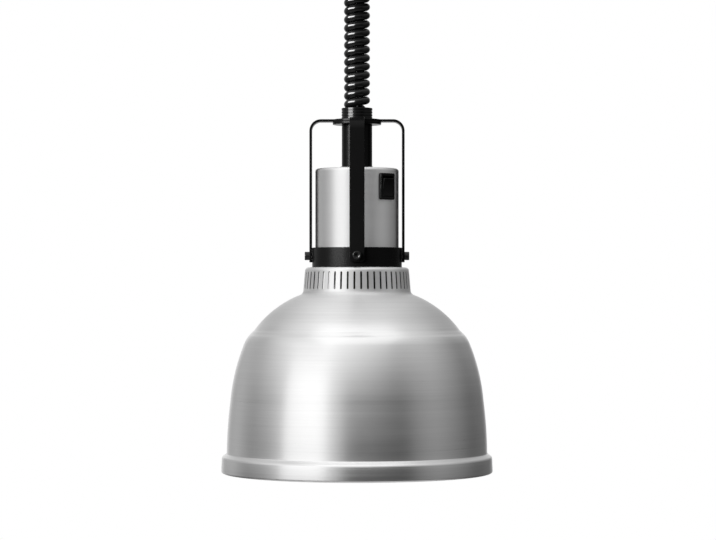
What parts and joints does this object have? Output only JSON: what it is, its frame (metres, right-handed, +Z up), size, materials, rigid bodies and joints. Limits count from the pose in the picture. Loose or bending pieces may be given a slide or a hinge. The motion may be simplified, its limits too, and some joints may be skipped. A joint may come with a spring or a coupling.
{
  "type": "rise-and-fall food heat lamp",
  "caption": "Ceiling heat lamp: spun aluminium bell shade and housing in a black grab frame, hung on a curly cord from a canopy whose spring reel lets it be drawn down.",
  "frame": {"origin": "middle of the ceiling plate's upper face, which lies against the ceiling", "axes": "+Z up along the lamp's axis, -Y towards the camera, +X to the right in the picture"},
  "size_m": [0.275, 0.275, 0.5585],
  "materials": {
    "spun_aluminium": "spun and brushed around the axis, clear lacquer",
    "black_coat": "black powder coat, satin",
    "gloss_black": "black enamel, glossy",
    "black_screw": "blackened steel",
    "zinc_steel": "zinc plated",
    "bright_steel": "bright",
    "contact_brass": "nickel-free brass",
    "black_plastic": "moulded, slightly glossy",
    "white_plastic": "acetal",
    "ivory_plastic": "moulded",
    "porcelain": "glazed porcelain",
    "black_cord": "smooth sheath, glossy",
    "black_rubber": "matt",
    "brown_sleeve": "silicone sleeve",
    "blue_sleeve": "silicone sleeve",
    "green_sleeve": "silicone sleeve",
    "bulb_glass": "frosted face, mirrored behind",
    "stem_glass": "clear",
    "tungsten": "matt"
  },
  "bodies": {
    "ceiling_unit": {"ceiling_plate": "zinc_steel", "canopy": "black_coat", "canopy_screws": "black_screw", "reel_frame": "zinc_steel", "reel_rivets": "zinc_steel", "reel_axle": "bright_steel", "axle_clips": "bright_steel", "terminal_block": "ivory_plastic", "terminal_screws": "contact_brass", "cord_gland": "black_plastic", "gland_nut": "black_plastic", "supply_lead": "black_cord", "curly_cord": "black_cord", "lift_wire": "bright_steel"},
    "reel": {"reel_drum": "white_plastic", "drum_cover": "zinc_steel", "mainspring": "bright_steel", "wound_wire": "bright_steel"},
    "lamp": {"collar_nut": "black_coat", "cord_bush": "black_rubber", "grab_frame": "black_coat", "hub_disc": "black_coat", "neck_tube": "gloss_black", "tube_nut": "zinc_steel", "anchor_plate": "zinc_steel", "wire_ferrule": "bright_steel", "lamp_lead": "black_cord", "housing": "spun_aluminium", "band": "black_coat", "frame_screws": "black_screw", "frame_nuts": "zinc_steel", "holder_bridge": "zinc_steel", "bridge_screws": "zinc_steel", "lamp_holder": "porcelain", "holder_terminals": "contact_brass", "thread_shell": "contact_brass", "centre_contact": "contact_brass", "switch_case": "black_plastic", "switch_tabs": "contact_brass", "live_wires": "brown_sleeve", "neutral_wire": "blue_sleeve", "earth_wire": "green_sleeve", "earth_screw": "contact_brass", "shade": "spun_aluminium"},
    "rocker": {"rocker": "black_plastic"},
    "bulb": {"bulb_glass": "bulb_glass", "bulb_cap": "bright_steel", "filament_stem": "stem_glass", "filament": "tungsten"}
  },
  "joints": [
    {"name": "rise_fall", "type": "slide", "parent": "ceiling_unit", "child": "lamp", "axis": [0, 0, -1], "range_m": [0, 0.3], "deforming": ["curly_cord", "lift_wire"]},
    {"name": "reel_spin", "type": "hinge", "parent": "ceiling_unit", "child": "reel", "pos_m": [0, 0.016, -0.028], "axis": [1, 0, 0], "range_deg": [0, 1080]},
    {"name": "rocker_tilt", "type": "hinge", "parent": "lamp", "child": "rocker", "pos_m": [0.02637, -0.02637, -0.2695], "axis": [-0.7071, -0.7071, 0], "range_deg": [0, 16]},
    {"name": "bulb_out", "type": "slide", "parent": "lamp", "child": "bulb", "axis": [0, 0, -1], "range_m": [0, 0.06]}
  ],
  "couplings": [
    {"joint": "reel_spin", "follows": "rise_fall", "rad_per_m": 62.5}
  ]
}
